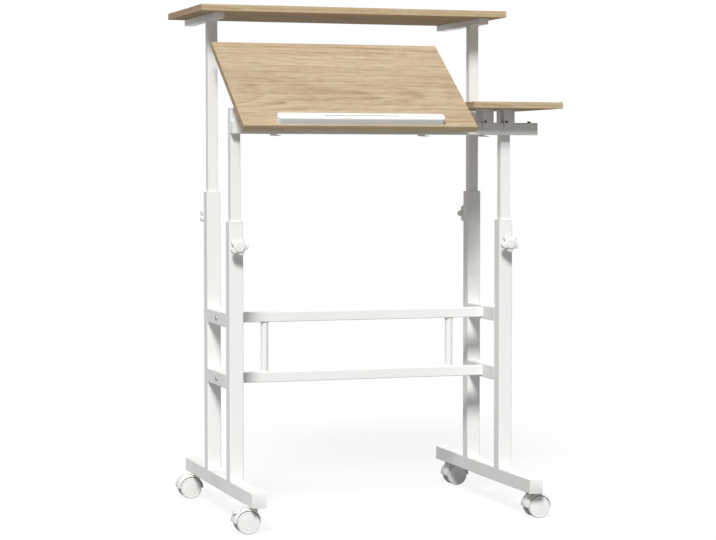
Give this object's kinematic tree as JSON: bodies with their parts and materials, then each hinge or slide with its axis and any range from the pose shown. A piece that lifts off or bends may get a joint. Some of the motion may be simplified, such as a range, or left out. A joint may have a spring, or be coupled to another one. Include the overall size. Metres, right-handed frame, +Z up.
{
  "type": "mobile standing desk",
  "caption": "Rolling standing desk on a white steel tube frame, with a tilting board, a side board and a raised shelf on height-set risers.",
  "frame": {"origin": "middle of the whole desk's footprint, on the floor", "axes": "+Z up, +X to the right of the person at the desk, +Y to the rear, away from that person"},
  "size_m": [0.8668, 0.683, 1.252],
  "materials": {
    "white_steel": "satin powder coat",
    "white_plastic": "fine matte moulding",
    "oak_board": "light oak laminate, matte",
    "zinc_steel": "zinc plated",
    "black_steel": "blackened"
  },
  "bodies": {
    "stand": {"foot_bar_left": "white_steel", "foot_bar_right": "white_steel", "foot_bar_caps": "white_plastic", "post_front_left": "white_steel", "post_front_right": "white_steel", "post_rear_left": "white_steel", "post_rear_right": "white_steel", "bridge_upper_left": "white_steel", "bridge_upper_right": "white_steel", "bridge_lower_left": "white_steel", "bridge_lower_right": "white_steel", "crossbar_upper": "white_steel", "crossbar_lower": "white_steel", "strut_left": "white_steel", "strut_right": "white_steel", "crossbar_bolts": "zinc_steel", "tube_guides": "white_plastic", "caster_stems": "black_steel"},
    "desk_carriage": {"riser_front_left": "white_steel", "riser_front_right": "white_steel", "tube_caps": "white_plastic", "front_beam": "white_steel", "board_clip_left": "white_steel", "board_clip_right": "white_steel", "beam_screws": "black_steel", "hinge_pins": "zinc_steel"},
    "tilting_board": {"main_board": "oak_board", "board_ledge": "white_plastic", "hinge_leaf_left": "white_steel", "hinge_leaf_right": "white_steel", "board_screws": "zinc_steel"},
    "side_table": {"side_board": "oak_board", "side_clip_left": "white_steel", "side_clip_right": "white_steel", "side_clip_screws": "black_steel", "side_board_screws": "zinc_steel"},
    "shelf_carriage": {"riser_rear_left": "white_steel", "riser_rear_right": "white_steel", "shelf_bracket_left": "white_steel", "shelf_bracket_right": "white_steel", "top_shelf": "oak_board", "shelf_screws": "zinc_steel"},
    "clamp_front_left": {"clamp_screw_front_left": "zinc_steel"},
    "grip_front_left": {"knob_front_left": "white_plastic"},
    "clamp_front_right": {"clamp_screw_front_right": "zinc_steel"},
    "grip_front_right": {"knob_front_right": "white_plastic"},
    "clamp_rear_left": {"clamp_screw_rear_left": "zinc_steel"},
    "grip_rear_left": {"knob_rear_left": "white_plastic"},
    "clamp_rear_right": {"clamp_screw_rear_right": "zinc_steel"},
    "grip_rear_right": {"knob_rear_right": "white_plastic"},
    "swivel_front_left": {"caster_hood_front_left": "white_plastic"},
    "wheels_front_left": {"caster_wheels_front_left": "white_plastic"},
    "swivel_front_right": {"caster_hood_front_right": "white_plastic"},
    "wheels_front_right": {"caster_wheels_front_right": "white_plastic"},
    "swivel_rear_left": {"caster_hood_rear_left": "white_plastic"},
    "wheels_rear_left": {"caster_wheels_rear_left": "white_plastic"},
    "swivel_rear_right": {"caster_hood_rear_right": "white_plastic"},
    "wheels_rear_right": {"caster_wheels_rear_right": "white_plastic"},
    "brake_left": {"brake_lever_left": "white_plastic"},
    "brake_right": {"brake_lever_right": "white_plastic"}
  },
  "joints": [
    {"name": "desk_lift", "type": "slide", "parent": "stand", "child": "desk_carriage", "axis": [0, 0, 1], "range_m": [-0.2, 0.035]},
    {"name": "board_tilt", "type": "hinge", "parent": "desk_carriage", "child": "tilting_board", "pos_m": [-0.0334, -0.1365, 1.022], "axis": [1, 0, 0], "range_deg": [-35.15, 15]},
    {"name": "side_table_slide", "type": "slide", "parent": "desk_carriage", "child": "side_table", "axis": [1, 0, 0], "range_m": [-0.01, 0.025]},
    {"name": "shelf_lift", "type": "slide", "parent": "stand", "child": "shelf_carriage", "axis": [0, 0, 1], "range_m": [-0.05, 0.12]},
    {"name": "clamp_travel_front_left", "type": "slide", "parent": "stand", "child": "clamp_front_left", "axis": [0, -1, 0], "range_m": [0, 0.0025]},
    {"name": "knob_turn_front_left", "type": "hinge", "parent": "clamp_front_left", "child": "grip_front_left", "pos_m": [-0.3817, -0.1545, 0.665], "axis": [0, -1, 0], "range_deg": [0, 721]},
    {"name": "clamp_travel_front_right", "type": "slide", "parent": "stand", "child": "clamp_front_right", "axis": [0, -1, 0], "range_m": [0, 0.0025]},
    {"name": "knob_turn_front_right", "type": "hinge", "parent": "clamp_front_right", "child": "grip_front_right", "pos_m": [0.3149, -0.1545, 0.665], "axis": [0, -1, 0], "range_deg": [0, 721]},
    {"name": "clamp_travel_rear_left", "type": "slide", "parent": "stand", "child": "clamp_rear_left", "axis": [0, 1, 0], "range_m": [0, 0.0025]},
    {"name": "knob_turn_rear_left", "type": "hinge", "parent": "clamp_rear_left", "child": "grip_rear_left", "pos_m": [-0.3817, 0.1215, 0.734], "axis": [0, 1, 0], "range_deg": [0, 721]},
    {"name": "clamp_travel_rear_right", "type": "slide", "parent": "stand", "child": "clamp_rear_right", "axis": [0, 1, 0], "range_m": [0, 0.0025]},
    {"name": "knob_turn_rear_right", "type": "hinge", "parent": "clamp_rear_right", "child": "grip_rear_right", "pos_m": [0.3149, 0.1215, 0.734], "axis": [0, 1, 0], "range_deg": [0, 721]},
    {"name": "caster_swivel_front_left", "type": "hinge", "parent": "stand", "child": "swivel_front_left", "pos_m": [-0.3817, -0.2955, 0.045], "axis": [0, 0, 1], "continuous": true},
    {"name": "wheel_spin_front_left", "type": "hinge", "parent": "swivel_front_left", "child": "wheels_front_left", "pos_m": [-0.4007, -0.2955, 0.027], "axis": [0, 1, 0], "continuous": true},
    {"name": "caster_swivel_front_right", "type": "hinge", "parent": "stand", "child": "swivel_front_right", "pos_m": [0.3149, -0.2955, 0.045], "axis": [0, 0, 1], "continuous": true},
    {"name": "wheel_spin_front_right", "type": "hinge", "parent": "swivel_front_right", "child": "wheels_front_right", "pos_m": [0.3339, -0.2955, 0.027], "axis": [0, 1, 0], "continuous": true},
    {"name": "caster_swivel_rear_left", "type": "hinge", "parent": "stand", "child": "swivel_rear_left", "pos_m": [-0.3817, 0.2625, 0.045], "axis": [0, 0, 1], "continuous": true},
    {"name": "wheel_spin_rear_left", "type": "hinge", "parent": "swivel_rear_left", "child": "wheels_rear_left", "pos_m": [-0.4007, 0.2625, 0.027], "axis": [0, 1, 0], "continuous": true},
    {"name": "caster_swivel_rear_right", "type": "hinge", "parent": "stand", "child": "swivel_rear_right", "pos_m": [0.3149, 0.2625, 0.045], "axis": [0, 0, 1], "continuous": true},
    {"name": "wheel_spin_rear_right", "type": "hinge", "parent": "swivel_rear_right", "child": "wheels_rear_right", "pos_m": [0.3339, 0.2625, 0.027], "axis": [0, 1, 0], "continuous": true},
    {"name": "brake_press_left", "type": "hinge", "parent": "swivel_front_left", "child": "brake_left", "pos_m": [-0.4107, -0.2955, 0.047], "axis": [0, 1, 0], "range_deg": [0, 14]},
    {"name": "brake_press_right", "type": "hinge", "parent": "swivel_front_right", "child": "brake_right", "pos_m": [0.3439, -0.2955, 0.047], "axis": [0, -1, 0], "range_deg": [0, 14]}
  ],
  "couplings": [
    {"joint": "knob_turn_front_left", "follows": "clamp_travel_front_left", "rad_per_m": 5026.5},
    {"joint": "knob_turn_front_right", "follows": "clamp_travel_front_right", "rad_per_m": 5026.5},
    {"joint": "knob_turn_rear_left", "follows": "clamp_travel_rear_left", "rad_per_m": 5026.5},
    {"joint": "knob_turn_rear_right", "follows": "clamp_travel_rear_right", "rad_per_m": 5026.5}
  ]
}
